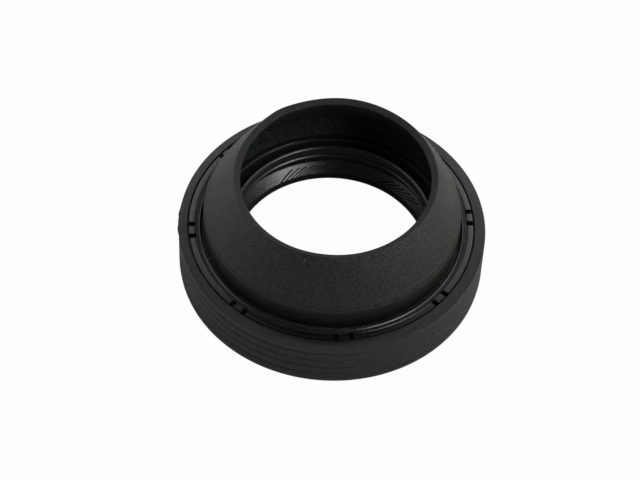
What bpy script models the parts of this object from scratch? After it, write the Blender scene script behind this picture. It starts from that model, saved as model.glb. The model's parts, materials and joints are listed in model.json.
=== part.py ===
# Output shaft seal for a gearbox: a rubber body with sealing lip, dust lip and
# tall dust boot, moulded round a pressed steel case, with a garter spring
# behind the sealing lip. Metres, +Z from the oil side to the air side, origin
# at the middle of the bottom face.

from math import atan2, cos, hypot, pi, radians, sin, tan

import bmesh
import bpy
from mathutils import Matrix

# Main dimensions
OUTER_DIAMETER = 0.0620
SHAFT_DIAMETER = 0.0400
RING_WIDTH = 0.0120
OVERALL_HEIGHT = 0.0278
SEGMENTS = 64

# Clearance between pieces that touch
FIT_GAP = 0.0003

# Ribbed outer wall
LEAD_IN = 0.0012
RIB_COUNT = 5
RIB_GROOVE_WIDTH = 0.0006
RIB_GROOVE_DEPTH = 0.00035
EDGE_BEVEL = 0.00025

# Face on the air side, from the outer edge inwards
FACE_BAND_WIDTH = 0.0021
FACE_GROOVE_WIDTH = 0.00036
FACE_GROOVE_DEPTH = 0.00045
LAND_WIDTH = 0.0014
SHOULDER_WIDTH = 0.0010
SHOULDER_STEP = 0.0002
VALLEY_WIDTH = 0.0006
VALLEY_DEPTH = 0.0010

# Pairs of mould support notches in the land
NOTCH_PAIRS = 8
NOTCH_PHASE = radians(7.0)
NOTCH_SPACING = 0.0030
NOTCH_WIDTH = 0.0010
NOTCH_DEPTH = 0.0009

# Dust boot
BOOT_WALL = 0.0014
BOOT_FOOT_HEIGHT = 0.0036
BOOT_UNDERCUT = 0.00035
BOOT_SHOULDER_RADIUS = 0.0025
BOOT_CROWN = 0.00035
MOUTH_INTERFERENCE = 0.0010
POCKET_FLOOR_DROP = 0.0009
POCKET_FILLET = 0.0010

# Dust lip
DUST_INTERFERENCE = 0.0001
DUST_LIP_SHARE = 0.35
DUST_GUTTER_DROP = 0.0004
DUST_TIP_RISE = 0.0005
DUST_TIP_WIDTH = 0.00025
DUST_LAND_HEIGHT = 0.0024
DUST_UNDERSIDE_DROP = 0.0003

# Sealing lip and its membrane
LIP_INTERFERENCE = 0.0005
LIP_HEIGHT = 0.0030
LIP_EDGE_HEIGHT = 0.0011
LIP_EDGE_LEAN = radians(18)
LIP_CONE_SLOPE = radians(40)
LIP_NOSE_DROP = 0.0015
LIP_NOSE_WIDTH = 0.0009
MEMBRANE_WALL = 0.0014
MEMBRANE_RISE = 0.0005
HUB_WALL = 0.0007

# Garter spring
SPRING_DIAMETER = 0.0016
SPRING_OUTSET = 0.0024
SPRING_RISE = 0.0008

# Pressed steel case and the rubber that wraps it
CASE_THICKNESS = 0.0009
CASE_BEND = 0.0010
WALL_COVER = 0.0009
FACE_COVER = 0.0016
BEAD_HEIGHT = 0.0012
BEAD_LAP = 0.0003
FLANGE_REACH = 0.0030
FLANGE_GRIP = 0.0016
GRIP_THICKNESS = 0.0005

# Places that follow from the dimensions
OUTER_R = OUTER_DIAMETER / 2
SHAFT_R = SHAFT_DIAMETER / 2
GROOVE_R = OUTER_R - FACE_BAND_WIDTH
LAND_R = GROOVE_R - LAND_WIDTH
SHOULDER_R = LAND_R - SHOULDER_WIDTH
BOOT_R = SHOULDER_R - VALLEY_WIDTH
MOUTH_R = SHAFT_R - MOUTH_INTERFERENCE
POCKET_FLOOR_Z = RING_WIDTH - POCKET_FLOOR_DROP
DUST_R = SHAFT_R - DUST_INTERFERENCE
LIP_R = SHAFT_R - LIP_INTERFERENCE
SPRING_R = LIP_R + SPRING_OUTSET
SPRING_Z = LIP_HEIGHT + SPRING_RISE
POCKET_R = OUTER_R - WALL_COVER
CASE_R = POCKET_R - FIT_GAP
CASE_TOP = RING_WIDTH - FACE_COVER - FIT_GAP
CASE_BOTTOM = BEAD_HEIGHT + FIT_GAP
FLANGE_Z = CASE_TOP - CASE_THICKNESS
FLANGE_END_R = SHAFT_R + FLANGE_REACH
ARCH_R = FLANGE_END_R - FIT_GAP - HUB_WALL


def arc(centre, radius, start, end, steps):
    """Points on an arc in the section plane, both ends included."""
    angles = [start + (end - start) * step / steps for step in range(steps + 1)]
    return [(centre[0] + radius * cos(a), centre[1] + radius * sin(a)) for a in angles]


def ribbed_wall():
    """Lead-in chamfer, ribs with a V groove between each two, and bevelled edge."""
    points = [(OUTER_R - LEAD_IN, 0.0), (OUTER_R, LEAD_IN)]
    pitch = (RING_WIDTH - LEAD_IN) / RIB_COUNT
    for rib in range(1, RIB_COUNT):
        z = LEAD_IN + rib * pitch
        points.append((OUTER_R, z - RIB_GROOVE_WIDTH / 2))
        points.append((OUTER_R - RIB_GROOVE_DEPTH, z))
        points.append((OUTER_R, z + RIB_GROOVE_WIDTH / 2))
    points.append((OUTER_R, RING_WIDTH - EDGE_BEVEL))
    points.append((OUTER_R - EDGE_BEVEL, RING_WIDTH))
    return points


def face():
    """Flat band, thin groove, land, and the step down to the boot's shoulder."""
    half = FACE_GROOVE_WIDTH / 2
    bottom = RING_WIDTH - FACE_GROOVE_DEPTH
    return [
        (GROOVE_R + half, RING_WIDTH),
        (GROOVE_R + half, bottom),
        (GROOVE_R - half, bottom),
        (GROOVE_R - half, RING_WIDTH),
        (LAND_R, RING_WIDTH),
        (LAND_R - SHOULDER_STEP, RING_WIDTH - SHOULDER_STEP),
    ]


def valley():
    """Rounded gutter between the shoulder and the foot of the boot."""
    foot_r = BOOT_R - BOOT_UNDERCUT
    middle = (SHOULDER_R + foot_r) / 2
    half = (SHOULDER_R - foot_r) / 2
    top = RING_WIDTH - SHOULDER_STEP
    depth = VALLEY_DEPTH - SHOULDER_STEP
    round_bottom = arc((0.0, 0.0), 1.0, 0.0, -pi, 3)
    return [(middle + half * r, top + depth * z) for r, z in round_bottom]


def cone_lean():
    """Angle of the boot's cone from the axis, between its shoulder and its mouth."""
    foot_top = RING_WIDTH + BOOT_FOOT_HEIGHT
    return atan2(BOOT_R - MOUTH_R - BOOT_WALL, OVERALL_HEIGHT - foot_top)


def boot_side(inset, shoulder_steps, cone_steps):
    """One side of the boot's wall, from its shoulder up to the mouth.

    inset is how far the side lies inside the boot's outer surface.
    """
    lean = cone_lean()
    foot_top = RING_WIDTH + BOOT_FOOT_HEIGHT
    centre = (BOOT_R - BOOT_SHOULDER_RADIUS, foot_top)
    points = arc(centre, BOOT_SHOULDER_RADIUS - inset, 0.0, lean, shoulder_steps)
    start = points[-1]
    end = (
        MOUTH_R + (BOOT_WALL - inset) * cos(lean),
        OVERALL_HEIGHT - inset * sin(lean),
    )
    length = hypot(end[0] - start[0], end[1] - start[1])
    outward = ((end[1] - start[1]) / length, (start[0] - end[0]) / length)
    for step in range(1, cone_steps + 1):
        share = step / cone_steps
        bow = BOOT_CROWN * 4 * share * (1 - share)
        r = start[0] + (end[0] - start[0]) * share + bow * outward[0]
        z = start[1] + (end[1] - start[1]) * share + bow * outward[1]
        points.append((r, z))
    return points


def boot_foot():
    """Outer foot of the boot, slightly undercut below the shoulder."""
    bottom = RING_WIDTH - SHOULDER_STEP
    height = RING_WIDTH + BOOT_FOOT_HEIGHT - bottom
    return [(BOOT_R - BOOT_UNDERCUT / 4, bottom + height / 2)]


def boot():
    """Boot from its foot over the mouth and down its inside to the pocket floor."""
    outside = boot_side(0.0, 2, 4)
    inside = boot_side(BOOT_WALL, 1, 3)
    inside.reverse()
    wall_r = BOOT_R - BOOT_WALL
    fillet = min(POCKET_FILLET, (wall_r - DUST_R) / 3)
    corner = (wall_r - fillet, POCKET_FLOOR_Z + fillet)
    return boot_foot() + outside + inside + arc(corner, fillet, 0.0, -pi / 2, 2)


def dust_lip():
    """Ledge over the flange's end, gutter, and dust lip with a tall land to the shaft."""
    thickness = DUST_LIP_SHARE * (BOOT_R - BOOT_WALL - DUST_R)
    tip_z = RING_WIDTH + DUST_TIP_RISE
    land_bottom = tip_z - DUST_LAND_HEIGHT
    return [
        (FLANGE_END_R, POCKET_FLOOR_Z),
        (DUST_R + thickness, POCKET_FLOOR_Z - DUST_GUTTER_DROP),
        (DUST_R + DUST_TIP_WIDTH, tip_z + DUST_TIP_WIDTH / 2),
        (DUST_R, tip_z),
        (DUST_R, land_bottom),
        (DUST_R + thickness / 4, land_bottom - DUST_UNDERSIDE_DROP),
    ]


def lip_edge_top():
    """Top of the steep band beside the sealing edge."""
    return (LIP_R + LIP_EDGE_HEIGHT * tan(LIP_EDGE_LEAN), LIP_HEIGHT + LIP_EDGE_HEIGHT)


def lip_cone_end():
    """Where the shallow cone on the lip's air side meets the wall of the cavity."""
    r, z = lip_edge_top()
    return (ARCH_R, z + (ARCH_R - r) * tan(LIP_CONE_SLOPE))


def lip_cavity():
    """Space between the two lips, then the sealing lip's air side to its edge."""
    top = FLANGE_Z + FIT_GAP
    return [
        (ARCH_R - HUB_WALL / 2, top + FIT_GAP),
        (ARCH_R, top - FIT_GAP),
        lip_cone_end(),
        lip_edge_top(),
        (LIP_R, LIP_HEIGHT),
    ]


def lip_head():
    """Oil side of the sealing lip, its nose, and the seat of the garter spring."""
    nose_z = LIP_HEIGHT - LIP_NOSE_DROP
    nose_r = LIP_R + LIP_NOSE_DROP
    seat_radius = SPRING_DIAMETER / 2 + FIT_GAP
    seat = arc((SPRING_R, SPRING_Z), seat_radius, radians(-60), radians(-300), 5)
    nose = [
        (nose_r, nose_z),
        (nose_r + LIP_NOSE_WIDTH, nose_z),
        (SPRING_R + seat_radius / 2, SPRING_Z - seat_radius - FIT_GAP),
    ]
    brow = [(SPRING_R + seat_radius / 2 + FIT_GAP, SPRING_Z + seat_radius + FIT_GAP / 2)]
    return nose + seat + brow


def membrane():
    """Oil side of the flexible membrane, up to the rubber under the flange."""
    foot_z = lip_cone_end()[1] + MEMBRANE_RISE
    grip_r = FLANGE_END_R + FLANGE_GRIP
    grip_top = FLANGE_Z - FIT_GAP
    return [
        (ARCH_R + MEMBRANE_WALL, foot_z),
        (grip_r - GRIP_THICKNESS, grip_top - GRIP_THICKNESS),
        (grip_r, grip_top),
    ]


def case_pocket():
    """Faces that wrap the steel case, from the flange round to the bottom bead."""
    inner_r = FLANGE_END_R - FIT_GAP
    ceiling = CASE_TOP + FIT_GAP
    bead_r = CASE_R - CASE_THICKNESS - BEAD_LAP
    return [
        (inner_r, FLANGE_Z - FIT_GAP),
        (inner_r, ceiling),
        (POCKET_R - CASE_BEND, ceiling),
        (POCKET_R, ceiling - CASE_BEND),
        (POCKET_R, BEAD_HEIGHT),
        (bead_r, BEAD_HEIGHT),
        (bead_r, BEAD_LAP),
        (bead_r + BEAD_LAP, 0.0),
    ]


def body_section():
    """Whole closed section of the rubber body, once round."""
    return (
        ribbed_wall() + face() + valley() + boot() + dust_lip()
        + lip_cavity() + lip_head() + membrane() + case_pocket()
    )


def case_section():
    """L section of the pressed steel case."""
    inner_r = CASE_R - CASE_THICKNESS
    inner_bend = CASE_BEND / 3
    return [
        (CASE_R, CASE_BOTTOM),
        (CASE_R, CASE_TOP - CASE_BEND),
        (CASE_R - CASE_BEND, CASE_TOP),
        (FLANGE_END_R, CASE_TOP),
        (FLANGE_END_R, FLANGE_Z),
        (inner_r - inner_bend, FLANGE_Z),
        (inner_r, FLANGE_Z - inner_bend),
        (inner_r, CASE_BOTTOM),
    ]


def spring_section():
    """Round section of the closely wound garter spring."""
    return arc((SPRING_R, SPRING_Z), SPRING_DIAMETER / 2, 0.0, 2 * pi * 7 / 8, 7)


def material(name, colour, roughness, metallic):
    """Principled material of one sub-part."""
    made = bpy.data.materials.new(name)
    made.use_nodes = True
    shader = made.node_tree.nodes["Principled BSDF"]
    shader.inputs["Base Color"].default_value = (*colour, 1.0)
    shader.inputs["Roughness"].default_value = roughness
    shader.inputs["Metallic"].default_value = metallic
    return made


def turned(name, section, finish):
    """Solid of revolution from a closed section in the XZ plane."""
    work = bmesh.new()
    ring = [work.verts.new((r, 0.0, z)) for r, z in section]
    edges = [work.edges.new((a, b)) for a, b in zip(ring, ring[1:] + ring[:1])]
    bmesh.ops.spin(
        work, geom=ring + edges, cent=(0, 0, 0), axis=(0, 0, 1),
        angle=2 * pi, steps=SEGMENTS, use_merge=True,
    )
    bmesh.ops.recalc_face_normals(work, faces=work.faces)
    mesh = bpy.data.meshes.new(name)
    work.to_mesh(mesh)
    work.free()
    mesh.materials.append(finish)
    made = bpy.data.objects.new(name, mesh)
    bpy.context.collection.objects.link(made)
    mesh.shade_smooth()
    mesh.set_sharp_from_angle(angle=radians(30))
    return made


def notch_cutter():
    """One block for each notch, all in one cutter."""
    work = bmesh.new()
    length = GROOVE_R - LAND_R
    height = 2 * NOTCH_DEPTH
    middle_r = (GROOVE_R + LAND_R) / 2
    half_spacing = NOTCH_SPACING / 2 / middle_r
    for pair in range(NOTCH_PAIRS):
        for side in (-1, 1):
            angle = NOTCH_PHASE + 2 * pi * pair / NOTCH_PAIRS + side * half_spacing
            place = (
                Matrix.Rotation(angle, 4, "Z")
                @ Matrix.Translation((middle_r, 0.0, RING_WIDTH))
                @ Matrix.Diagonal((length, NOTCH_WIDTH, height, 1.0))
            )
            bmesh.ops.create_cube(work, size=1.0, matrix=place)
    mesh = bpy.data.meshes.new("notch_cutter")
    work.to_mesh(mesh)
    work.free()
    cutter = bpy.data.objects.new("notch_cutter", mesh)
    bpy.context.collection.objects.link(cutter)
    cutter.hide_render = True
    cutter.display_type = "WIRE"
    return cutter


def rubber_body():
    """Moulded rubber body with its notches cut into the land."""
    black_rubber = material("black_nitrile_rubber", (0.012, 0.013, 0.013), 0.45, 0.0)
    body = turned("rubber_body", body_section(), black_rubber)
    cut = body.modifiers.new("notches", "BOOLEAN")
    cut.operation = "DIFFERENCE"
    cut.object = notch_cutter()
    return body


def steel_case():
    """Pressed case that stiffens the ring, bare on the oil side."""
    pressed_steel = material("pressed_steel", (0.30, 0.30, 0.29), 0.38, 1.0)
    return turned("steel_case", case_section(), pressed_steel)


def garter_spring():
    """Garter spring that presses the sealing lip on the shaft."""
    spring_steel = material("spring_steel", (0.45, 0.45, 0.44), 0.28, 1.0)
    return turned("garter_spring", spring_section(), spring_steel)


def clear_scene():
    """Remove the objects that the file opened with."""
    for old in list(bpy.data.objects):
        bpy.data.objects.remove(old, do_unlink=True)


clear_scene()
rubber_body()
steel_case()
garter_spring()
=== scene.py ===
import json
from math import atan2, ceil, cos, hypot, pi, radians, sin, tan

import bpy
import numpy as np
from mathutils import Matrix, Vector


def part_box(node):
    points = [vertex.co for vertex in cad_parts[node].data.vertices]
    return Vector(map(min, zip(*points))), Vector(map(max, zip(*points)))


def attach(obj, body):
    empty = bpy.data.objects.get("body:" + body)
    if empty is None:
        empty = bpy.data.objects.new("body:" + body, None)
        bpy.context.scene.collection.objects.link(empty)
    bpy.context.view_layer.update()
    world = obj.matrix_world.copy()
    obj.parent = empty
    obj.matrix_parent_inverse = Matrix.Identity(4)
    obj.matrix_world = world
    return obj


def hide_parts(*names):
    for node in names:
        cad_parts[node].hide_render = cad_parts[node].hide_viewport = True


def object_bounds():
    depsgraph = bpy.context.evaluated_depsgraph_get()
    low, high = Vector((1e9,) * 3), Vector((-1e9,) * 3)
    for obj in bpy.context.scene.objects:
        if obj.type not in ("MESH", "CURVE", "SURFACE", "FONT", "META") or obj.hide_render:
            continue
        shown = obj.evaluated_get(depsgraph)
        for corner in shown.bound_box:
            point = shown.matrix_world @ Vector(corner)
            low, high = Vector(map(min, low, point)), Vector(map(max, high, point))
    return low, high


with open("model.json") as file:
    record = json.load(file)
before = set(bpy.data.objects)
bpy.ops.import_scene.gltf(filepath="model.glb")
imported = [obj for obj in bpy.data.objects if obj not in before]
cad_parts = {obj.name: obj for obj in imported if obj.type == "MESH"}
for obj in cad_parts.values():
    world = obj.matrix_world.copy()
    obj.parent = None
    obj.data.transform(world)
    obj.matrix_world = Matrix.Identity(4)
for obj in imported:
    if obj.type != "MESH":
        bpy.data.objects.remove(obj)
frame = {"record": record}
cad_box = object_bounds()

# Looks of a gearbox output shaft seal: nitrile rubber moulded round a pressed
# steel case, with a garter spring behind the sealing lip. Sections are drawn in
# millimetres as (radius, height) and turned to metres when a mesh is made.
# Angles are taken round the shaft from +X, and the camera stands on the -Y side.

MM = 0.001

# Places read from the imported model
case_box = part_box("steel_case")
spring_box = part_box("garter_spring")
mount_places = {mount["name"]: mount["pos_m"] for mount in frame["record"]["mounts"]}
OUTER_R = cad_box[1].x / MM
OVERALL_HEIGHT = cad_box[1].z / MM
RING_WIDTH = mount_places["air_side_face"][2] / MM
CASE_R = case_box[1].x / MM
CASE_BOTTOM = case_box[0].z / MM
CASE_TOP = case_box[1].z / MM
SPRING_DIAMETER = (spring_box[1].z - spring_box[0].z) / MM
SPRING_R = spring_box[1].x / MM - SPRING_DIAMETER / 2
SPRING_Z = spring_box[0].z / MM + SPRING_DIAMETER / 2

# Shaft that both lips run on
SHAFT_R = 20.0

# Roundings of the section's corners, from the sharpest to the softest
BEAD_CREST_ROUND = 0.03
BRIM_ROUND = 0.04
KEEN_ROUND = 0.05
BEAD_FOOT_ROUND = 0.06
TIP_ROUND = 0.08
FINE_ROUND = 0.10
MOULD_ROUND = 0.12
EASED_ROUND = 0.15
BROW_ROUND = 0.2
SOFT_ROUND = 0.25
WIDE_ROUND = 0.3
WEB_ROUND = 0.5
MEMBRANE_ROUND = 0.6

# Outer wall, with a burr on its top rib over one short stretch; ragged is the share of
# its width that comes and goes in waves of (count, phase, share)
LEAD_IN = 1.2
RIB_COUNT = 5
RIB_GROOVE_WIDTH = 0.7
RIB_GROOVE_DEPTH = 0.45
RIB_CROWN = 0.09
EDGE_ROUND = 0.25
BURR_PLACE = radians(184.0)
BURR_REACH = radians(9.0)
BURR_WIDTH = 0.26
BURR_RAGGED = 0.4
BURR_WAVES = ((47, 0.3, 0.6), (83, 1.9, 0.4), (121, 0.8, 0.3))

# Face on the air side, whose rings lie a little off the outer wall's middle
GROOVE_R = OUTER_R - 2.1
GROOVE_WIDTH = 0.34
GROOVE_DEPTH = 0.75
LAND_R = GROOVE_R - 1.4
SHOULDER_R = LAND_R - 1.0
SHOULDER_STEP = 0.2
BOOT_R = SHOULDER_R - 0.6
VALLEY_DEPTH = 1.0
VALLEY_STEPS = 7
FACE_SHIFT_X = -0.2
FACE_SHIFT_Y = 0.2

# Beads on the land and the shoulder; start, crest and end are shares of their width
MOULD_BEAD_WIDTH = 0.30
LAND_BEAD_HEIGHT = 0.08
LAND_BEAD_START = 0.87
LAND_BEAD_CREST = 0.55
LAND_BEAD_END = 0.1
SHOULDER_BEAD_HEIGHT = 0.19
SHOULDER_BEAD_CREST = 0.2

# Pairs of mould support notches, from the groove through the land's bead
NOTCH_PAIRS = 8
NOTCH_PHASE = radians(7.0)
NOTCH_SPACING = 3.0
NOTCH_WIDTH = 1.15
NOTCH_END_R = LAND_R - 0.05
NOTCH_END_SILL = 0.03
NOTCH_DEPTH = 0.9
NOTCH_CHAMFER = 0.05
NOTCH_WALL_LEAN = 0.03

# Dust boot, with the steps that its shoulder and its cone are drawn in
BOOT_WALL = 1.4
BOOT_FOOT_HEIGHT = 4.4
BOOT_UNDERCUT = 0.35
FOOT_BEND_SHARE = 0.55
FOOT_BEND_RISE = 0.8
BOOT_SHOULDER_RADIUS = 1.6
BOOT_CROWN = 0.35
OUTSIDE_STEPS = (5, 12)
INSIDE_STEPS = (2, 7)
POCKET_FLOOR_Z = RING_WIDTH - 0.9
POCKET_FILLET = 0.06
POCKET_STEPS = 4
LEDGE_STEP = 0.35

# Mouth of the boot, a little leaning, oval and wavy, and swollen in one place;
# the powers tell how far down the boot each of these reaches
MOUTH_R = SHAFT_R - 1.0
MOUTH_LEAN_X = 0.26
MOUTH_LEAN_Y = -0.31
MOUTH_LEAN_POWER = 1.3
MOUTH_OVAL = 0.20
MOUTH_OVAL_PLACE = radians(69.5)
MOUTH_OVAL_POWER = 2
MOUTH_WAVE = 0.05
MOUTH_WAVES = ((3, 2.0, 0.6), (5, 0.6, 0.5), (9, 1.2, 0.3))
MOUTH_SWELL = 0.35
MOUTH_SWELL_PLACE = radians(127.0)
MOUTH_SWELL_REACH = radians(11.0)
MOUTH_SWELL_POWER = 6

# Parting ridge low on the boot's cone: its place as a share of the way up, its profile
# as (half widths, share of the height), and how much of it fades in waves
PARTING_SHARE = 0.06
PARTING_WIDTH = 0.28
PARTING_HEIGHT = 0.04
PARTING_PROFILE = ((-1.0, 0.0), (-0.35, 0.8), (0.0, 1.0), (0.35, 0.8), (1.0, 0.0))
PARTING_RAGGED = 0.35
PARTING_FADE = 0.8
PARTING_WAVES = ((5, 0.4, 0.5), (11, 2.1, 0.3), (23, 1.0, 0.2))

# Dust lip
DUST_R = SHAFT_R - 0.1
DUST_LIP_SHARE = 0.35
DUST_LIP_WIDTH = DUST_LIP_SHARE * (BOOT_R - BOOT_WALL - DUST_R)
DUST_GUTTER_Z = POCKET_FLOOR_Z - 0.4
DUST_TIP_Z = RING_WIDTH + 0.15
DUST_TIP_WIDTH = 0.5
DUST_TIP_RISE = 0.35
DUST_LAND_BOTTOM = RING_WIDTH - 2.6
DUST_LAND_HEIGHT = 0.2
DUST_EDGE_REACH = 0.30
DUST_EDGE_RISE = 0.25
DUST_FOOT_DROP = 0.3

# Sealing lip and its membrane; a brow is (reach outward, distance from the seat)
LIP_R = SHAFT_R - 0.5
LIP_HEIGHT = 3.0
EDGE_BAND_HEIGHT = 1.1
EDGE_BAND_LEAN = radians(18.0)
CONE_SLOPE = radians(40.0)
NOSE_DROP = 1.5
NOSE_WIDTH = 0.9
SEAT_GAP = 0.06
SEAT_START = radians(-60.0)
SEAT_END = radians(-300.0)
SEAT_STEPS = 10
BROW_BELOW = (0.1, 0.15)
BROW_ABOVE = (0.3, 0.25)
ARCH_R = 22.0
ARCH_INSET = 0.35
ARCH_RISE = 0.6
MEMBRANE_WALL = 1.4
MEMBRANE_RISE = 0.5

# Pump ribs on the lip's cone; their top and the cone's rows are shares of the way up it
PUMP_GROUPS = 6
RIBS_IN_GROUP = 6
PUMP_RIB_PITCH = radians(4.4)
PUMP_RIB_PHASE = radians(43.6)
PUMP_RIB_HALF_WIDTH = radians(0.90)
PUMP_RIB_HEIGHT = 0.17
PUMP_RIB_TOP = 0.68
PUMP_RIB_SWEEP = radians(12.2)
PUMP_RIB_FANNING = radians(2.6)
CONE_ROWS = (0.90, 0.76, PUMP_RIB_TOP, 0.64, 0.50, 0.36, 0.22, 0.10)

# Pressed case, and the rubber that holds it
CASE_THICKNESS = 0.9
CASE_BEND = 1.0
SHEARED_EDGE_ROUND = 0.12
FLANGE_END_R = 23.0
FLANGE_Z = CASE_TOP - CASE_THICKNESS
FLANGE_GRIP_R = 24.6
GRIP_THICKNESS = 0.5
GRIP_CHAMFER = 0.05
BEAD_LAP = 0.3
SKIN_GAP = 0.01

# Garter spring wire, whose pitch is a multiple of its diameter
WIRE_DIAMETER = 0.36
WIRE_PITCH = 1.03
WIRE_SIDES = 7
STEPS_PER_COIL = 13

# Fineness of the round stretches, and the tolerance for telling a row by its place
ROUND_STEP = radians(30.0)
ROUND_WALL_SHARE = 0.45
EVEN_STATIONS = 252
STATION_GAP = radians(0.35)
CASE_STATIONS = 240
SHARP_ANGLE = radians(38.0)
NEAR = 0.01

# Finishes of the rubber by stretch: material name, darkest and lightest colour,
# roughness and its spread, heights in mm of the grain and of the turning marks,
# and the share of the tone that follows the marks instead of the grain
RUBBER_FINISHES = {
    "moulded": ("blasted_mould_rubber", "010101", "282e26", 0.38, 0.05, 0.24, 0.02, 0.0),
    # The core finish is a lighter copy of the moulded rubber. Its colours are raised to paint
    # light onto the boot's shaded inner wall.
    "cored": ("painted_light_core_rubber", "0e110e", "40463e", 0.45, 0.05, 0.20, 0.02, 0.0),
    "ribbed": ("ribbed_mould_rubber", "020302", "272d26", 0.35, 0.05, 0.16, 0.06, 0.5),
    "turned": ("turned_mould_rubber", "020303", "1a2120", 0.30, 0.05, 0.05, 0.12, 0.6),
    "polished": ("polished_mould_rubber", "050706", "101311", 0.22, 0.04, 0.01, 0.01, 0.0),
    "inside": ("smooth_mould_rubber", "040605", "111411", 0.34, 0.05, 0.02, 0.02, 0.2),
    "trimmed": ("trimmed_rubber", "010201", "161915", 0.72, 0.05, 0.20, 0.01, 0.0),
}

# Patterns of the rubber as (size in millimetres, detail, roughness of the noise), each
# with the range of the noise that is spread over the tone or the dullness. The blasted
# grain and the turning marks of the real mould are about 0.05 mm, and both are drawn
# coarser to show. The drift is how far across the seal, in millimetres, the marks last.
BLASTED_GRAIN = (0.5, 3.0, 0.7)
BLASTED_RANGE = (0.42, 0.58)
BLOOM_SMUDGE = (7.0, 4.0, 0.6)
BLOOM_RANGE = (0.3, 0.7)
TURNING_MARK = 0.4
TURNING_DETAIL = 2.0
TURNING_DRIFT = 9.0
TURNING_RANGE = (0.38, 0.62)
RUBBER_IOR = 1.52

# Dust specks of about 0.3 mm: their spacing in millimetres, their radius as a share
# of it, and the share of the places that stay clean
SPECK_SPACING = 2.4
SPECK_RADIUS = 0.065
SPECK_CLEAN_SHARE = 0.86
SPECK_COLOUR = "7d807b"

# Patterns of the two steels in the same way, and the heights of the case's marks in
# millimetres. The phosphate shows as patches, which are coarser than its crystals.
DRAWING_MARK = (0.5, 3.0, 0.5)
DRAWING_MARK_HEIGHT = 0.02
PHOSPHATE_PATCH = (0.35, 4.0, 0.65)
PHOSPHATE_HEIGHT = 0.012
PHOSPHATE_DARK = "6f706d"
PHOSPHATE_LIGHT = "a3a4a0"
PHOSPHATE_ROUGHNESS = (0.30, 0.52)
OIL_FILM_PATCH = (1.6, 3.0, 0.5)
WIRE_DARK = "8d8b86"
WIRE_LIGHT = "c6c5c1"
WIRE_ROUGHNESS = (0.20, 0.38)

# Camera, from circles of the seal measured in the photograph of 640 x 480, where the
# outer wall's 31 mm from the axis are 150.117 pixels; distance and clip are in metres
CAMERA_ELEVATION = radians(52.41)
CAMERA_DISTANCE = 0.5167
CAMERA_ROLL = radians(2.64)
CAMERA_LENS = 141.46
CAMERA_SENSOR = 36.0
CAMERA_CLIP = 0.01
TARGET_HEIGHT = 1.2
TARGET_PIXEL = (330.57, 256.83)
PICTURE_CENTRE = (320.0, 240.0)
PIXELS_PER_MM = 150.117 / 31.0

# Softboxes: name, azimuth and elevation in degrees, size in metres, and watts; all
# stand at the same distance, in metres
LAMP_DISTANCE = 0.60
SOFTBOXES = (
    ("key_softbox", -38.0, 46.0, 0.13, 0.85),
    ("right_softbox", 0.0, 30.0, 0.40, 0.9),
    ("left_softbox", 178.0, 30.0, 0.40, 0.6),
    ("rear_softbox", 90.0, 53.0, 0.26, 0.15),
    ("rear_right_softbox", 52.0, 35.0, 0.40, 1.0),
    ("rear_left_softbox", 128.0, 35.0, 0.40, 0.7),
)

# Level of the surroundings at the horizon and overhead, the share of it that is left
# in front, and how much of their white shows in reflections
HORIZON_LIGHT = 0.36
ZENITH_LIGHT = 0.10
ZENITH_START = 0.8
FRONT_SHARE = 0.35
FRONT_END = 0.2
WORLD_MIRRORED = 0.03
WHITE = (1.0, 1.0, 1.0, 1.0)

# Table: half its side in metres, how many millimetres it lies under the seal, and how
# much of its white the camera and the reflections see
TABLE_HALF = 2.0
TABLE_DROP = 0.01
TABLE_SEEN = 0.978
TABLE_MIRRORED = 0.03
TABLE_COLOUR = "cececc"


class Section:
    """Closed section, drawn corner by corner, with the finish of each stretch."""

    def __init__(self):
        self.corners = []

    def to(self, r, z, radius=0.0, finish="moulded"):
        """Add a corner, its rounding, and the finish of the stretch that follows."""
        self.corners.append((r, z, radius, finish))

    def through(self, points, finish="moulded"):
        """Add the points of a curved stretch."""
        for r, z in points:
            self.to(r, z, 0.0, finish)

    def rounded(self):
        """Points of the section with every corner rounded, as far as its walls allow."""
        made = []
        count = len(self.corners)
        for place, (r, z, radius, finish) in enumerate(self.corners):
            if radius == 0.0:
                made.append((r, z, finish))
                continue
            before = self.corners[place - 1]
            after = self.corners[(place + 1) % count]
            made += round_corner(before, (r, z), after, radius, finish)
        return made


def round_corner(before, corner, after, radius, finish):
    """Arc that takes the place of one corner."""
    back = (before[0] - corner[0], before[1] - corner[1])
    ahead = (after[0] - corner[0], after[1] - corner[1])
    back_length = hypot(*back)
    ahead_length = hypot(*ahead)
    back = (back[0] / back_length, back[1] / back_length)
    ahead = (ahead[0] / ahead_length, ahead[1] / ahead_length)
    between = np.clip(back[0] * ahead[0] + back[1] * ahead[1], -1.0, 1.0)
    half = np.arccos(between) / 2
    turn = pi - 2 * half
    longest = ROUND_WALL_SHARE * min(back_length, ahead_length)
    reach = min(radius / tan(half), longest)
    radius = reach * tan(half)
    middle = (back[0] + ahead[0], back[1] + ahead[1])
    middle_length = hypot(*middle)
    centre_away = radius / sin(half)
    centre = (
        corner[0] + middle[0] / middle_length * centre_away,
        corner[1] + middle[1] / middle_length * centre_away,
    )
    start = atan2(
        corner[1] + back[1] * reach - centre[1],
        corner[0] + back[0] * reach - centre[0],
    )
    side = 1.0 if back[0] * ahead[1] - back[1] * ahead[0] < 0 else -1.0
    steps = max(1, ceil(turn / ROUND_STEP))
    return [
        (
            centre[0] + radius * cos(start + side * turn * step / steps),
            centre[1] + radius * sin(start + side * turn * step / steps),
            finish,
        )
        for step in range(steps + 1)
    ]


def arc(centre, radius, start, end, steps):
    """Points on an arc in the section, both ends included."""
    angles = [start + (end - start) * step / steps for step in range(steps + 1)]
    return [(centre[0] + radius * cos(a), centre[1] + radius * sin(a)) for a in angles]


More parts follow.
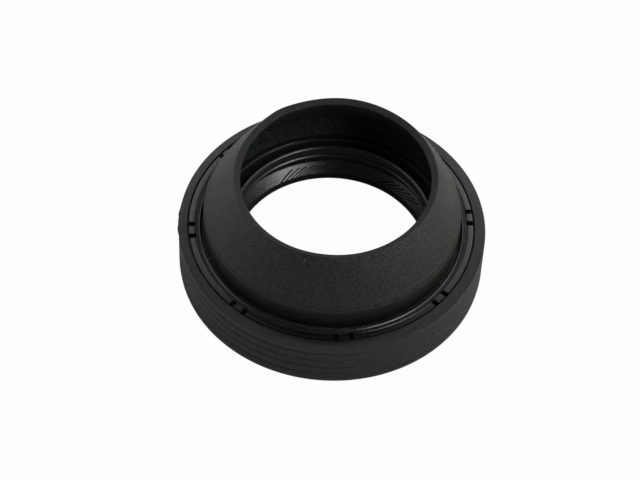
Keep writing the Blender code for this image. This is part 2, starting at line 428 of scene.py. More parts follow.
def along(start, end, steps, bow=0.0):
    """Points from start to end, start left out, bowed to the left of the way."""
    length = hypot(end[0] - start[0], end[1] - start[1])
    left = ((end[1] - start[1]) / length, (start[0] - end[0]) / length)
    made = []
    for step in range(1, steps + 1):
        share = step / steps
        push = bow * 4 * share * (1 - share)
        made.append((
            start[0] + (end[0] - start[0]) * share + push * left[0],
            start[1] + (end[1] - start[1]) * share + push * left[1],
        ))
    return made


def draw_outer_wall(section):
    """Lead-in, crowned ribs with a groove between each two, and the top edge."""
    section.to(OUTER_R - LEAD_IN, 0.0, SOFT_ROUND, "ribbed")
    pitch = (RING_WIDTH - LEAD_IN) / RIB_COUNT
    half = RIB_GROOVE_WIDTH / 2
    edge_r = OUTER_R - RIB_CROWN
    for rib in range(RIB_COUNT):
        low = LEAD_IN + rib * pitch + (half if rib else 0.0)
        high = LEAD_IN + (rib + 1) * pitch - half
        section.to(edge_r, low, MOULD_ROUND, "ribbed")
        if rib == RIB_COUNT - 1:
            section.to(OUTER_R, (low + RING_WIDTH) / 2, 0.0, "ribbed")
            section.to(OUTER_R, RING_WIDTH, EDGE_ROUND, "turned")
            break
        section.to(OUTER_R, (low + high) / 2, 0.0, "ribbed")
        section.to(edge_r, high, MOULD_ROUND, "ribbed")
        section.to(OUTER_R - RIB_GROOVE_DEPTH, high + half, TIP_ROUND, "ribbed")


def draw_face(section):
    """Flat band, thin groove, land and lower shoulder, the last two with a bead each."""
    half = GROOVE_WIDTH / 2
    bottom = RING_WIDTH - GROOVE_DEPTH
    section.to(GROOVE_R + half, RING_WIDTH, BRIM_ROUND, "turned")
    section.to(GROOVE_R + half, bottom, KEEN_ROUND, "turned")
    section.to(GROOVE_R - half, bottom, KEEN_ROUND, "turned")
    section.to(GROOVE_R - half, RING_WIDTH, BRIM_ROUND, "polished")
    land_crest_r = LAND_R + MOULD_BEAD_WIDTH * LAND_BEAD_CREST
    land_top = RING_WIDTH + LAND_BEAD_HEIGHT
    section.to(LAND_R + MOULD_BEAD_WIDTH * LAND_BEAD_START, RING_WIDTH, 0.0, "polished")
    section.to(land_crest_r, land_top, BEAD_CREST_ROUND, "polished")
    section.to(LAND_R + MOULD_BEAD_WIDTH * LAND_BEAD_END, RING_WIDTH, BEAD_FOOT_ROUND, "turned")
    section.to(NOTCH_END_R - NOTCH_END_SILL, RING_WIDTH - NOTCH_END_SILL, 0.0, "turned")
    step_top = RING_WIDTH - SHOULDER_STEP
    crest_r = SHOULDER_R + MOULD_BEAD_WIDTH * SHOULDER_BEAD_CREST
    section.to(SHOULDER_R + MOULD_BEAD_WIDTH, step_top, 0.0, "polished")
    section.to(crest_r, step_top + SHOULDER_BEAD_HEIGHT, KEEN_ROUND, "polished")


def draw_valley(section):
    """Gutter between the shoulder and the foot of the boot."""
    foot_r = BOOT_R - BOOT_UNDERCUT
    middle = (SHOULDER_R + foot_r) / 2
    half = (SHOULDER_R - foot_r) / 2
    top = RING_WIDTH - SHOULDER_STEP
    depth = VALLEY_DEPTH - SHOULDER_STEP
    bottom = arc((0.0, 0.0), 1.0, 0.0, -pi, VALLEY_STEPS)
    section.through([(middle + half * r, top + depth * z) for r, z in bottom], "turned")


def boot_lean():
    """Angle of the boot's cone from the axis."""
    return atan2(
        BOOT_R - MOUTH_R - BOOT_WALL,
        OVERALL_HEIGHT - RING_WIDTH - BOOT_FOOT_HEIGHT,
    )


def boot_side(inset, shoulder_steps, cone_steps):
    """One side of the boot's wall, from its shoulder up to the mouth."""
    lean = boot_lean()
    centre = (BOOT_R - BOOT_SHOULDER_RADIUS, RING_WIDTH + BOOT_FOOT_HEIGHT)
    points = arc(centre, BOOT_SHOULDER_RADIUS - inset, 0.0, lean, shoulder_steps)
    end = (
        MOUTH_R + (BOOT_WALL - inset) * cos(lean),
        OVERALL_HEIGHT - inset * sin(lean),
    )
    return points + along(points[-1], end, cone_steps, BOOT_CROWN)


def parting_ridge(start, end):
    """Fine ridge that the mould's parting line leaves round the boot."""
    length = hypot(end[0] - start[0], end[1] - start[1])
    ahead = ((end[0] - start[0]) / length, (end[1] - start[1]) / length)
    left = (ahead[1], -ahead[0])
    middle = PARTING_SHARE * length
    made = []
    for step, height in PARTING_PROFILE:
        place = middle + step * PARTING_WIDTH / 2
        rise = height * PARTING_HEIGHT + BOOT_CROWN * 4 * place / length
        made.append((
            start[0] + ahead[0] * place + left[0] * rise,
            start[1] + ahead[1] * place + left[1] * rise,
        ))
    return made


def draw_boot(section):
    """Boot from its foot over the trimmed mouth and down inside to the pocket."""
    bottom = RING_WIDTH - SHOULDER_STEP
    foot_bend = (BOOT_R - BOOT_UNDERCUT * FOOT_BEND_SHARE, bottom + FOOT_BEND_RISE)
    foot_middle = (BOOT_R - BOOT_UNDERCUT / 4, bottom + (BOOT_FOOT_HEIGHT + SHOULDER_STEP) / 2)
    section.through([foot_bend, foot_middle])
    outside = boot_side(0.0, *OUTSIDE_STEPS)
    cone_start = OUTSIDE_STEPS[0]
    section.through(outside[:cone_start + 1])
    # The ridge takes the place of the first point above the cone's start
    section.through(parting_ridge(outside[cone_start], outside[-1]), "parting")
    section.through(outside[cone_start + 2:-1])
    section.to(*outside[-1], FINE_ROUND, "trimmed")
    inside = boot_side(BOOT_WALL, *INSIDE_STEPS)
    inside.reverse()
    # The inner wall gets the lightened copy of the rubber, which paints light into its shade.
    section.to(*inside[0], FINE_ROUND, "cored")
    section.through(inside[1:], "cored")
    corner = (BOOT_R - BOOT_WALL - POCKET_FILLET, POCKET_FLOOR_Z + POCKET_FILLET)
    section.through(arc(corner, POCKET_FILLET, 0.0, -pi / 2, POCKET_STEPS), "inside")


def draw_dust_lip(section):
    """Ledge over the flange's end, gutter, and dust lip with an edge above and below."""
    ledge_low = (FLANGE_END_R + LEDGE_STEP / 2, POCKET_FLOOR_Z - LEDGE_STEP)
    section.to(FLANGE_END_R + LEDGE_STEP, POCKET_FLOOR_Z, MOULD_ROUND, "polished")
    section.to(*ledge_low, FINE_ROUND, "inside")
    section.to(DUST_R + DUST_LIP_WIDTH, DUST_GUTTER_Z, SOFT_ROUND, "inside")
    tip_top = DUST_TIP_Z + DUST_TIP_RISE
    section.to(DUST_R + DUST_TIP_WIDTH, tip_top, FINE_ROUND, "polished")
    section.to(DUST_R, DUST_TIP_Z, TIP_ROUND, "inside")
    edge_z = DUST_LAND_BOTTOM + DUST_LAND_HEIGHT
    section.to(DUST_R + DUST_EDGE_REACH, edge_z + DUST_EDGE_RISE, 0.0, "polished")
    section.to(DUST_R, edge_z, KEEN_ROUND, "inside")
    section.to(DUST_R, DUST_LAND_BOTTOM, FINE_ROUND, "inside")
    foot_z = DUST_LAND_BOTTOM - DUST_FOOT_DROP
    section.to(DUST_R + DUST_LIP_WIDTH / 4, foot_z, EASED_ROUND, "inside")
    section.to(ARCH_R - ARCH_INSET, FLANGE_Z + ARCH_RISE, WIDE_ROUND, "inside")
    section.to(ARCH_R, FLANGE_Z, WIDE_ROUND, "inside")


def lip_cone_point(share):
    """Point on the sealing lip's shallow cone, from its edge band (0) to the arch (1)."""
    start_r = LIP_R + EDGE_BAND_HEIGHT * tan(EDGE_BAND_LEAN)
    start_z = LIP_HEIGHT + EDGE_BAND_HEIGHT
    way = (ARCH_R - start_r) * share
    return (start_r + way, start_z + way * tan(CONE_SLOPE))


def draw_sealing_lip(section):
    """Sealing lip from the arch over its cone, edge and nose to the spring's seat."""
    section.to(*lip_cone_point(1.0), WEB_ROUND, "inside")
    for share in CONE_ROWS:
        section.to(*lip_cone_point(share), 0.0, "polished")
    section.to(*lip_cone_point(0.0), MOULD_ROUND, "inside")
    section.to(LIP_R, LIP_HEIGHT, KEEN_ROUND, "inside")
    nose_r = LIP_R + NOSE_DROP
    nose_z = LIP_HEIGHT - NOSE_DROP
    section.to(nose_r, nose_z, SOFT_ROUND, "inside")
    section.to(nose_r + NOSE_WIDTH, nose_z, WIDE_ROUND, "inside")
    seat_radius = SPRING_DIAMETER / 2 + SEAT_GAP
    brow_r = SPRING_R + seat_radius / 2
    brow_bottom = SPRING_Z - seat_radius - BROW_BELOW[1]
    brow_top = SPRING_Z + seat_radius + BROW_ABOVE[1]
    section.to(brow_r + BROW_BELOW[0], brow_bottom, EASED_ROUND, "inside")
    seat = arc((SPRING_R, SPRING_Z), seat_radius, SEAT_START, SEAT_END, SEAT_STEPS)
    section.through(seat, "inside")
    section.to(brow_r + BROW_ABOVE[0], brow_top, BROW_ROUND, "inside")


def draw_membrane(section):
    """Oil side of the membrane, up to the rubber that grips the flange."""
    under = FLANGE_Z - SKIN_GAP
    arch_z = lip_cone_point(1.0)[1] + MEMBRANE_RISE
    grip = (FLANGE_GRIP_R - GRIP_THICKNESS, under - GRIP_THICKNESS)
    section.to(ARCH_R + MEMBRANE_WALL, arch_z, MEMBRANE_ROUND, "inside")
    section.to(*grip, WEB_ROUND, "inside")
    section.to(FLANGE_GRIP_R, under - GRIP_CHAMFER, BRIM_ROUND, "inside")
    section.to(FLANGE_GRIP_R - GRIP_CHAMFER, under)


def draw_case_pocket(section):
    """Faces against the steel case, then the bead below its edge."""
    inner_r = FLANGE_END_R - SKIN_GAP
    ceiling = CASE_TOP + SKIN_GAP
    wall_r = CASE_R + SKIN_GAP
    bead_top = CASE_BOTTOM - SKIN_GAP
    bead_r = CASE_R - CASE_THICKNESS - BEAD_LAP
    section.to(inner_r, FLANGE_Z - SKIN_GAP)
    section.to(inner_r, ceiling)
    section.to(wall_r, ceiling, CASE_BEND)
    section.to(wall_r, bead_top)
    section.to(bead_r, bead_top, EASED_ROUND)
    section.to(bead_r, 0.0, WIDE_ROUND)


def body_section():
    """Whole closed section of the rubber body."""
    section = Section()
    draw_outer_wall(section)
    draw_face(section)
    draw_valley(section)
    draw_boot(section)
    draw_dust_lip(section)
    draw_sealing_lip(section)
    draw_membrane(section)
    draw_case_pocket(section)
    return section.rounded()


def case_section():
    """L section of the pressed case, with its bends and its sheared edges."""
    section = Section()
    inner_r = CASE_R - CASE_THICKNESS
    section.to(CASE_R, CASE_BOTTOM, SHEARED_EDGE_ROUND)
    section.to(CASE_R, CASE_TOP, CASE_BEND)
    section.to(FLANGE_END_R, CASE_TOP, SHEARED_EDGE_ROUND)
    section.to(FLANGE_END_R, FLANGE_Z, SHEARED_EDGE_ROUND)
    section.to(inner_r, FLANGE_Z, CASE_BEND / 3)
    section.to(inner_r, CASE_BOTTOM, SHEARED_EDGE_ROUND)
    return section.rounded()


def notch_cuts():
    """Angle and depth share of each station that shapes a notch."""
    middle_r = (GROOVE_R + LAND_R) / 2
    half_spacing = NOTCH_SPACING / 2 / middle_r
    half_width = NOTCH_WIDTH / 2 / middle_r
    chamfer = NOTCH_CHAMFER / middle_r
    wall = (NOTCH_CHAMFER + NOTCH_WALL_LEAN) / middle_r
    cuts = []
    for pair in range(NOTCH_PAIRS):
        middle = NOTCH_PHASE + 2 * pi * pair / NOTCH_PAIRS
        for side in (-1, 1):
            angle = middle + side * half_spacing
            for edge in (-1, 1):
                chamfer_end = angle + edge * (half_width - chamfer)
                cuts.append((angle + edge * half_width, 0.0))
                cuts.append((chamfer_end, NOTCH_CHAMFER / NOTCH_DEPTH))
                cuts.append((angle + edge * (half_width - wall), 1.0))
    return sorted(cuts)


def notch_depth_shares(angles, cuts):
    """How deep the notches are at each angle, from 0 on the land to 1 in a notch."""
    cut_angles = [angle for angle, depth in cuts]
    depths = [depth for angle, depth in cuts]
    return np.interp(angles, cut_angles, depths, period=2 * pi)


def pump_rib_crests():
    """Angle of each pump rib's crest at its upper end, in groups round the lip."""
    made = []
    for group in range(PUMP_GROUPS):
        middle = PUMP_RIB_PHASE + 2 * pi * group / PUMP_GROUPS
        for rib in range(RIBS_IN_GROUP):
            away = (rib - (RIBS_IN_GROUP - 1) / 2) * PUMP_RIB_PITCH
            made.append((middle + away) % (2 * pi))
    return np.array(sorted(made))


def signed_apart(angles, other):
    """Shortest way from the other angle to each angle, from minus pi to pi."""
    return (angles - other + pi) % (2 * pi) - pi


def apart(angles, others):
    """Distance from each angle to the nearest of the others, round the circle."""
    return np.abs(signed_apart(angles[:, None], others[None, :])).min(axis=1)


def body_stations(cuts):
    """Angles of the body's stations, and how high a pump rib stands at each."""
    crests = pump_rib_crests()
    feet = np.concatenate([crests - PUMP_RIB_HALF_WIDTH, crests + PUMP_RIB_HALF_WIDTH])
    edges = np.array([angle for angle, depth in cuts])
    needed = np.concatenate([crests, feet, edges]) % (2 * pi)
    even = np.linspace(0.0, 2 * pi, EVEN_STATIONS, endpoint=False)
    even = even[apart(even, needed) > STATION_GAP]
    angles = np.sort(np.concatenate([needed, even]))
    ribs = np.clip(1 - apart(angles, crests) / PUMP_RIB_HALF_WIDTH, 0.0, 1.0)
    return angles, ribs


def wave(angles, parts):
    """Smooth unevenness round the seal, from a few waves of (count, phase, share)."""
    return sum(share * np.sin(count * angles + phase) for count, phase, share in parts)


def lip_shares(rows):
    """For each row, its place on the sealing lip's cone, or None off it."""
    made = []
    foot = lip_cone_point(0.0)
    for r, z, finish in rows:
        share = (r - foot[0]) / (ARCH_R - foot[0])
        on_height = abs(lip_cone_point(share)[1] - z) < 2 * NEAR
        on_cone = on_height and -NEAR < share < 1 + NEAR
        made.append(share if on_cone else None)
    return made


def sweep_of_rows(rows, shares):
    """How far each row is turned, from 0 to 1, so that the pump ribs run oblique."""
    foot_row = max(i for i, share in enumerate(shares) if share is not None)
    grip_row = max(
        i for i, (r, z, finish) in enumerate(rows) if r < FLANGE_GRIP_R and z < FLANGE_Z
    )
    sweep = np.zeros(len(rows))
    for place, share in enumerate(shares):
        if share is not None and share < PUMP_RIB_TOP:
            sweep[place] = 1 - share / PUMP_RIB_TOP
    for place in range(foot_row + 1, grip_row + 1):
        sweep[place] = (grip_row - place) / (grip_row - foot_row)
    return sweep


def face_shift_shares(rows):
    """How far each row follows the shift of the face's rings, from 0 to 1."""
    made = []
    for r, z, finish in rows:
        inner = np.interp(r, [DUST_R + DUST_LIP_WIDTH, BOOT_R - BOOT_WALL], [0.0, 1.0])
        outer = np.interp(r, [GROOVE_R + GROOVE_WIDTH, OUTER_R - EDGE_ROUND], [1.0, 0.0])
        level = np.interp(z, [CASE_TOP, RING_WIDTH - NOTCH_DEPTH], [0.0, 1.0])
        made.append(inner * outer * level)
    return np.array(made)


def mouth_shape(angles):
    """Outward shift of the trimmed mouth: its oval with its waves, and its swelling."""
    oval = MOUTH_OVAL * np.cos(2 * (angles - MOUTH_OVAL_PLACE))
    uneven = MOUTH_WAVE * wave(angles, MOUTH_WAVES)
    away = signed_apart(angles, MOUTH_SWELL_PLACE)
    swell = MOUTH_SWELL * np.exp(-(away / MOUTH_SWELL_REACH) ** 2)
    return oval + uneven, swell


def burr_width(angles):
    """Ragged burr that the mould left on the top rib, over one short stretch."""
    away = signed_apart(angles, BURR_PLACE)
    ragged = 1 - BURR_RAGGED + BURR_RAGGED * wave(angles, BURR_WAVES)
    return BURR_WIDTH * ragged * np.exp(-(away / BURR_REACH) ** 4)


def plain_grid(rows, angles):
    """Radius and height of every point of a section that is the same at all angles."""
    r = np.array([row[0] for row in rows])
    z = np.array([row[1] for row in rows])
    stations = len(angles)
    return np.repeat(r[:, None], stations, axis=1), np.repeat(z[:, None], stations, axis=1)


def shape_rows(rows, angles, ribs, cuts):
    """Radius and height of every point: notches, parting ridge, burr and pump ribs."""
    r, z = plain_grid(rows, angles)
    depth = notch_depth_shares(angles, cuts)
    bottom = RING_WIDTH - NOTCH_DEPTH * depth
    shares = lip_shares(rows)
    ridge = 1 - PARTING_RAGGED + PARTING_RAGGED * wave(angles, PARTING_WAVES)
    for place, (row_r, row_z, finish) in enumerate(rows):
        if NOTCH_END_R < row_r < GROOVE_R and row_z > RING_WIDTH - NOTCH_DEPTH:
            z[place] = np.minimum(z[place], np.where(depth > 0, bottom, row_z))
        if finish == "parting":
            r[place] -= (1 - ridge) * PARTING_HEIGHT * PARTING_FADE
        if row_r > OUTER_R - NEAR and row_z > RING_WIDTH - 2 * EDGE_ROUND:
            r[place] += burr_width(angles)
        if shares[place] is not None and shares[place] < PUMP_RIB_TOP - NEAR:
            r[place] -= PUMP_RIB_HEIGHT * ribs * sin(CONE_SLOPE)
            z[place] += PUMP_RIB_HEIGHT * ribs * cos(CONE_SLOPE)
    return r, z


def turned_angles(rows, angles):
    """Angle of every point, where the rows of the lip are turned for the pump ribs."""
    fanned = np.sin(PUMP_GROUPS * (angles - PUMP_RIB_PHASE))
    sweep = PUMP_RIB_SWEEP - PUMP_RIB_FANNING * fanned
    return angles[None, :] + sweep_of_rows(rows, lip_shares(rows))[:, None] * sweep[None, :]


def body_points(rows, angles, ribs, cuts):
    """Grid of points of the rubber body, one row for each point of its section."""
    r, z = shape_rows(rows, angles, ribs, cuts)
    up = np.clip((z - RING_WIDTH) / (OVERALL_HEIGHT - RING_WIDTH), 0.0, 1.0)
    shape, swell = mouth_shape(angles)
    r += shape * up ** MOUTH_OVAL_POWER + swell * up ** MOUTH_SWELL_POWER
    way = turned_angles(rows, angles)
    x = r * np.cos(way) + MOUTH_LEAN_X * up ** MOUTH_LEAN_POWER
    y = r * np.sin(way) + MOUTH_LEAN_Y * up ** MOUTH_LEAN_POWER
    shift = face_shift_shares(rows)[:, None] * (1 - up)
    x += FACE_SHIFT_X * shift
    y += FACE_SHIFT_Y * shift
    return np.stack([x, y, z], axis=2) * MM


def put_in_scene(name, content):
    """New object with this content, linked to the scene."""
    made = bpy.data.objects.new(name, content)
    bpy.context.scene.collection.objects.link(made)
    return made


def ring_mesh(name, points, finishes, slots):
    """Closed mesh from rows of points that go round the shaft.

    A row whose finish has no slot of its own, such as the parting ridge, takes
    the first one.
    """
    rows, stations = points.shape[:2]
    below = np.arange(rows * stations).reshape(rows, stations)
    above = np.roll(below, -1, axis=0)
    quads = np.stack(
        [below, np.roll(below, -1, axis=1), np.roll(above, -1, axis=1), above], axis=2
    ).reshape(-1, 4)
    mesh = bpy.data.meshes.new(name)
    mesh.from_pydata(points.reshape(-1, 3).tolist(), [], quads.tolist())
    for finish in slots.values():
        mesh.materials.append(finish)
    order = {finish: place for place, finish in enumerate(slots)}
    of_row = np.array([order.get(finish, 0) for finish in finishes])
    of_face = np.repeat(of_row, stations)
    mesh.polygons.foreach_set("material_index", of_face.astype(np.int32))
    mesh.shade_smooth()
    mesh.set_sharp_from_angle(angle=SHARP_ANGLE)
    mesh.update()
    return put_in_scene(name, mesh)


def turned(name, rows, slots):
    """Piece turned from a closed section, the same all the way round."""
    angles = np.linspace(0.0, 2 * pi, CASE_STATIONS, endpoint=False)
    r, z = plain_grid(rows, angles)
    points = np.stack([r * np.cos(angles), r * np.sin(angles), z], axis=2) * MM
    return ring_mesh(name, points, [row[2] for row in rows], slots)


def linear(code):
    """Linear colour of an sRGB hex value such as 1a2b3c."""
    parts = [int(code[place:place + 2], 16) / 255 for place in (0, 2, 4)]
    made = [p / 12.92 if p <= 0.04045 else ((p + 0.055) / 1.055) ** 2.4 for p in parts]
    return (*made, 1.0)


def add(tree, kind, inputs=None, **settings):
    """Add a node, make its settings, and fill or link its inputs."""
    made = tree.nodes.new(kind)
    for name, value in settings.items():
        setattr(made, name, value)
    for name, value in (inputs or {}).items():
        if isinstance(value, bpy.types.NodeSocket):
            tree.links.new(value, made.inputs[name])
        else:
            made.inputs[name].default_value = value
    return made


def blank(name):
    """Material with an empty node tree."""
    made = bpy.data.materials.new(name)
    made.use_nodes = True
    made.node_tree.nodes.clear()
    return made, made.node_tree


def per_metre(size):
    """Texture scale for a pattern of this size in millimetres."""
    return 1.0 / (size * MM)


def noise(tree, place, size, detail, roughness):
    """Noise with patches of about this size in millimetres."""
    return add(
        tree, "ShaderNodeTexNoise",
        {"Vector": place, "Scale": per_metre(size), "Detail": detail, "Roughness": roughness},
    ).outputs["Fac"]


def ranged(tree, value, low, high, new_low=0.0, new_high=1.0):
    """Value taken from one range to another, and kept inside it."""
    return add(
        tree, "ShaderNodeMapRange",
        {"Value": value, "From Min": low, "From Max": high,
         "To Min": new_low, "To Max": new_high},
    ).outputs[0]


def arithmetic(tree, operation, *values):
    """Result of one arithmetic operation on these sockets or numbers."""
    return add(
        tree, "ShaderNodeMath", dict(enumerate(values)), operation=operation
    ).outputs[0]


def blend(tree, factor, first, second):
    """Colour between two, from the first at 0 to the second at 1."""
    return add(
        tree, "ShaderNodeMix", {"Factor": factor, 6: first, 7: second}, data_type="RGBA"
    ).outputs[2]


def bump(tree, height, distance, **under):
    """Normal bent by a height whose full rise is this distance in millimetres."""
    return add(
        tree, "ShaderNodeBump",
        {"Height": height, "Distance": distance * MM, "Strength": 1.0, **under},
    ).outputs[0]


def finish_surface(tree, inputs):
    """Principled surface with these inputs, as the material's output."""
    shader = add(tree, "ShaderNodeBsdfPrincipled", inputs).outputs[0]
    add(tree, "ShaderNodeOutputMaterial", {"Surface": shader})


def round_place(tree, place):
    """Place that is the same all round the shaft: radius, height and nothing."""
    parts = add(tree, "ShaderNodeSeparateXYZ", {"Vector": place}).outputs
    flat = add(tree, "ShaderNodeCombineXYZ", {"X": parts["X"], "Y": parts["Y"]}).outputs[0]
    radius = add(tree, "ShaderNodeVectorMath", {0: flat}, operation="LENGTH").outputs["Value"]
    return add(tree, "ShaderNodeCombineXYZ", {"X": radius, "Y": parts["Z"]}).outputs[0]


def turning_marks(tree, place):
    """Noise in rings round the shaft, which drifts slowly across the seal."""
    across = add(tree, "ShaderNodeSeparateXYZ", {"Vector": place}).outputs["X"]
    drift = arithmetic(tree, "MULTIPLY", across, per_metre(TURNING_DRIFT))
    return add(
        tree, "ShaderNodeTexNoise",
        {"Vector": round_place(tree, place), "W": drift,
         "Scale": per_metre(TURNING_MARK), "Detail": TURNING_DETAIL},
        noise_dimensions="4D",
    ).outputs["Fac"]


def dust_specks(tree, place):
    """1 on a dust speck and 0 beside it, with most of the places left clean."""
    cells = add(
        tree, "ShaderNodeTexVoronoi", {"Vector": place, "Scale": per_metre(SPECK_SPACING)}
    ).outputs
    chance = add(tree, "ShaderNodeSeparateColor", {"Color": cells["Color"]}).outputs["Red"]
    near = arithmetic(tree, "LESS_THAN", cells["Distance"], SPECK_RADIUS)
    chosen = arithmetic(tree, "GREATER_THAN", chance, SPECK_CLEAN_SHARE)
    return arithmetic(tree, "MULTIPLY", near, chosen)


def nitrile_rubber(name, darkest, lightest, roughness, spread, grain, marks, lines):
    """Nitrile rubber, black with carbon, as it leaves a steel mould.

    It gives the eye a near-black satin with weak, broad reflections, faint
    marks of the mould's turning, dull smudges of bloom and a few dust specks.
    """
    made, tree = blank(name)
    place = add(tree, "ShaderNodeTexCoord").outputs["Object"]
    turning = turning_marks(tree, place)
    blasted = noise(tree, place, *BLASTED_GRAIN)
    cloudy = ranged(tree, blasted, *BLASTED_RANGE)
    streaked = ranged(tree, turning, *TURNING_RANGE)
    tone = add(tree, "ShaderNodeMix", {"Factor": lines, 2: cloudy, 3: streaked}).outputs[0]
    clean = blend(tree, tone, linear(darkest), linear(lightest))
    dusty = blend(tree, dust_specks(tree, place), clean, linear(SPECK_COLOUR))
    bloom = noise(tree, place, *BLOOM_SMUDGE)
    dull = ranged(tree, bloom, *BLOOM_RANGE, roughness - spread, roughness + spread)
    marked = bump(tree, turning, marks)
    grained = bump(tree, blasted, grain, Normal=marked)
    finish_surface(
        tree, {"Base Color": dusty, "Roughness": dull, "Normal": grained, "IOR": RUBBER_IOR}
    )
    return made


def phosphated_pressed_steel():
    """Deep-drawn mild steel under a thin grey phosphate, dull, with drawing marks."""
    made, tree = blank("phosphated_pressed_steel")
    place = add(tree, "ShaderNodeTexCoord").outputs["Object"]
    drawn = noise(tree, round_place(tree, place), *DRAWING_MARK)
    patches = noise(tree, place, *PHOSPHATE_PATCH)
    colour = blend(tree, patches, linear(PHOSPHATE_DARK), linear(PHOSPHATE_LIGHT))
    dull = ranged(tree, patches, 0.0, 1.0, *PHOSPHATE_ROUGHNESS)
    lines = bump(tree, drawn, DRAWING_MARK_HEIGHT)
    rough = bump(tree, patches, PHOSPHATE_HEIGHT, Normal=lines)
    finish_surface(
        tree, {"Base Color": colour, "Metallic": 1.0, "Roughness": dull, "Normal": rough}
    )
    return made


def drawn_spring_wire():
    """Hard-drawn carbon steel wire, semi-bright, with a thin film of oil."""
    made, tree = blank("drawn_spring_wire")
    place = add(tree, "ShaderNodeTexCoord").outputs["Object"]
    film = noise(tree, place, *OIL_FILM_PATCH)
    colour = blend(tree, film, linear(WIRE_DARK), linear(WIRE_LIGHT))
    dull = ranged(tree, film, 0.0, 1.0, *WIRE_ROUGHNESS)
    finish_surface(tree, {"Base Color": colour, "Metallic": 1.0, "Roughness": dull})
    return made


def make_rubber_body():
    """Rubber body with its ribs, notches, boot, lips and pump ribs."""
    finishes = {
        stretch: nitrile_rubber(*values) for stretch, values in RUBBER_FINISHES.items()
    }
    rows = body_section()
    cuts = notch_cuts()
    angles, ribs = body_stations(cuts)
    points = body_points(rows, angles, ribs, cuts)
    body = ring_mesh("moulded_body", points, [row[2] for row in rows], finishes)
    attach(body, "root")
    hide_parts("rubber_body")


def make_steel_case():
    """Pressed case, seen only from the oil side."""
    case = turned("pressed_case", case_section(), {"moulded": phosphated_pressed_steel()})
    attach(case, "root")
    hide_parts("steel_case")


def make_garter_spring():
    """Closely wound coil spring, joined end to end in its seat."""
    coil_r = (SPRING_DIAMETER - WIRE_DIAMETER) / 2
    coils = int(2 * pi * SPRING_R / (WIRE_DIAMETER * WIRE_PITCH))
    way = np.linspace(0.0, 2 * pi, coils * STEPS_PER_COIL, endpoint=False)
    wind = way * coils
    level = np.cos(wind)
    out = np.stack([level * np.cos(way), level * np.sin(way), np.sin(wind)], axis=1)
    ring = np.stack([np.cos(way), np.sin(way), 0.0 * way], axis=1) * SPRING_R
    centre = ring + out * coil_r + np.array([0.0, 0.0, SPRING_Z])
    ahead = np.roll(centre, -1, axis=0) - np.roll(centre, 1, axis=0)
    ahead /= np.linalg.norm(ahead, axis=1)[:, None]
    side = np.cross(ahead, out)
    sides = np.linspace(0.0, 2 * pi, WIRE_SIDES, endpoint=False)
    points = np.stack(
        [centre + (out * cos(a) + side * sin(a)) * WIRE_DIAMETER / 2 for a in sides]
    ) * MM
    wire = {"wire": drawn_spring_wire()}
    spring = ring_mesh("wound_spring", points, ["wire"] * WIRE_SIDES, wire)
    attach(spring, "root")
    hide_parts("garter_spring")


def facing(way, axis):
    """Turn that points an object's own axis along a way, with its top up."""
    return way.to_track_quat(axis, "Y").to_matrix()


def make_camera():
    """Camera at the photograph's angle, aimed so that the seal stands as framed."""
    target = Vector((0.0, 0.0, TARGET_HEIGHT * MM))
    back = Vector((0.0, -cos(CAMERA_ELEVATION), sin(CAMERA_ELEVATION)))
    place = target + back * CAMERA_DISTANCE
    roll = Matrix.Rotation(CAMERA_ROLL, 3, "Z")
    left = (TARGET_PIXEL[0] - PICTURE_CENTRE[0]) / PIXELS_PER_MM * MM
    up = (TARGET_PIXEL[1] - PICTURE_CENTRE[1]) / PIXELS_PER_MM * MM
    aim = target + facing(-back, "-Z") @ roll @ Vector((-left, up, 0.0))
    turn = facing(aim - place, "-Z") @ roll
    camera = bpy.data.cameras.new("photo_camera")
    camera.lens = CAMERA_LENS
    camera.sensor_width = CAMERA_SENSOR
    camera.clip_start = CAMERA_CLIP
    made = put_in_scene("photo_camera", camera)
    made.matrix_world = Matrix.Translation(place) @ turn.to_4x4()
    bpy.context.scene.camera = made


def make_lamp(name, azimuth, elevation, size, watts):
    """Soft square lamp that faces the seal."""
    lamp = bpy.data.lights.new(name, "AREA")
    lamp.shape = "SQUARE"
    lamp.size = size
    lamp.energy = watts
    level = cos(radians(elevation))
    across = level * cos(radians(azimuth))
    back = level * sin(radians(azimuth))
    away = Vector((across, back, sin(radians(elevation))))
    made = put_in_scene(name, lamp)
    made.matrix_world = Matrix.Translation(away * LAMP_DISTANCE) @ facing(away, "Z").to_4x4()


def ray_kinds(tree):
    """Sockets that are 1 for rays that see the white background, and for reflections."""
    path = add(tree, "ShaderNodeLightPath").outputs
    seen = arithmetic(tree, "MAXIMUM", path["Is Camera Ray"], path["Is Transmission Ray"])
    return seen, path["Is Glossy Ray"]


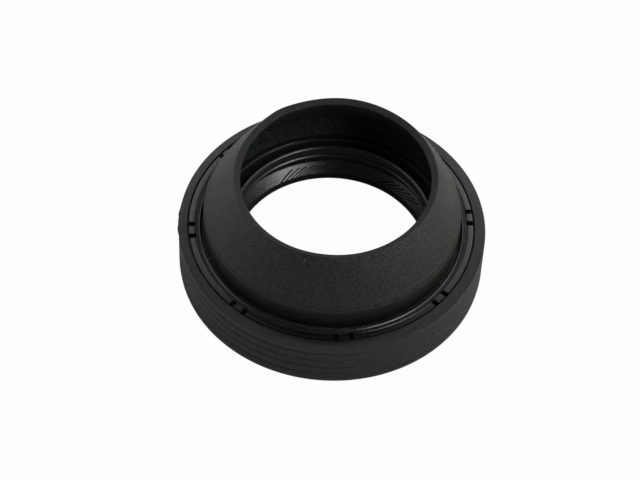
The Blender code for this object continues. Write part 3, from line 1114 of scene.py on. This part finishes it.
def make_world():
    """Pale surroundings, darker overhead and in front, white where the camera looks."""
    world = bpy.data.worlds.new("pale_studio")
    world.use_nodes = True
    tree = world.node_tree
    tree.nodes.clear()
    seen, mirrored = ray_kinds(tree)
    way = add(tree, "ShaderNodeTexCoord").outputs["Generated"]
    parts = add(tree, "ShaderNodeSeparateXYZ", {"Vector": way}).outputs
    room = ranged(tree, parts["Z"], 0.0, ZENITH_START, HORIZON_LIGHT, ZENITH_LIGHT)
    fade = ranged(tree, parts["Y"], -1.0, FRONT_END, FRONT_SHARE, 1.0)
    dimmed = arithmetic(tree, "MULTIPLY", room, fade)
    glossy = arithmetic(tree, "MULTIPLY_ADD", mirrored, WORLD_MIRRORED, dimmed)
    strength = ranged(tree, seen, 0.0, 1.0, glossy, 1.0)
    glow = add(
        tree, "ShaderNodeBackground", {"Color": WHITE, "Strength": strength}
    ).outputs[0]
    add(tree, "ShaderNodeOutputWorld", {"Surface": glow})
    bpy.context.scene.world = world


def white_table():
    """White laminate: white to the eye, and a part of it takes the seal's shadow."""
    made, tree = blank("white_table")
    seen, mirrored = ray_kinds(tree)
    share = arithmetic(tree, "MULTIPLY", mirrored, TABLE_MIRRORED)
    total = ranged(tree, seen, 0.0, 1.0, share, TABLE_SEEN)
    laminate = add(
        tree, "ShaderNodeBsdfDiffuse", {"Color": linear(TABLE_COLOUR)}
    ).outputs[0]
    white = add(
        tree, "ShaderNodeEmission", {"Color": WHITE, "Strength": 1.0}
    ).outputs[0]
    both = add(tree, "ShaderNodeMixShader", {0: total, 1: laminate, 2: white}).outputs[0]
    add(tree, "ShaderNodeOutputMaterial", {"Surface": both})
    return made


def make_table():
    """Plain table under the seal."""
    half = TABLE_HALF
    mesh = bpy.data.meshes.new("table_top")
    mesh.from_pydata(
        [(-half, -half, 0.0), (half, -half, 0.0), (half, half, 0.0), (-half, half, 0.0)],
        [], [(0, 1, 2, 3)],
    )
    mesh.materials.append(white_table())
    table = put_in_scene("table_top", mesh)
    table.location = (0.0, 0.0, -TABLE_DROP * MM)


make_camera()
make_rubber_body()
make_steel_case()
make_garter_spring()
make_world()
make_table()
for softbox in SOFTBOXES:
    make_lamp(*softbox)
bpy.context.scene.view_settings.view_transform = "Standard"
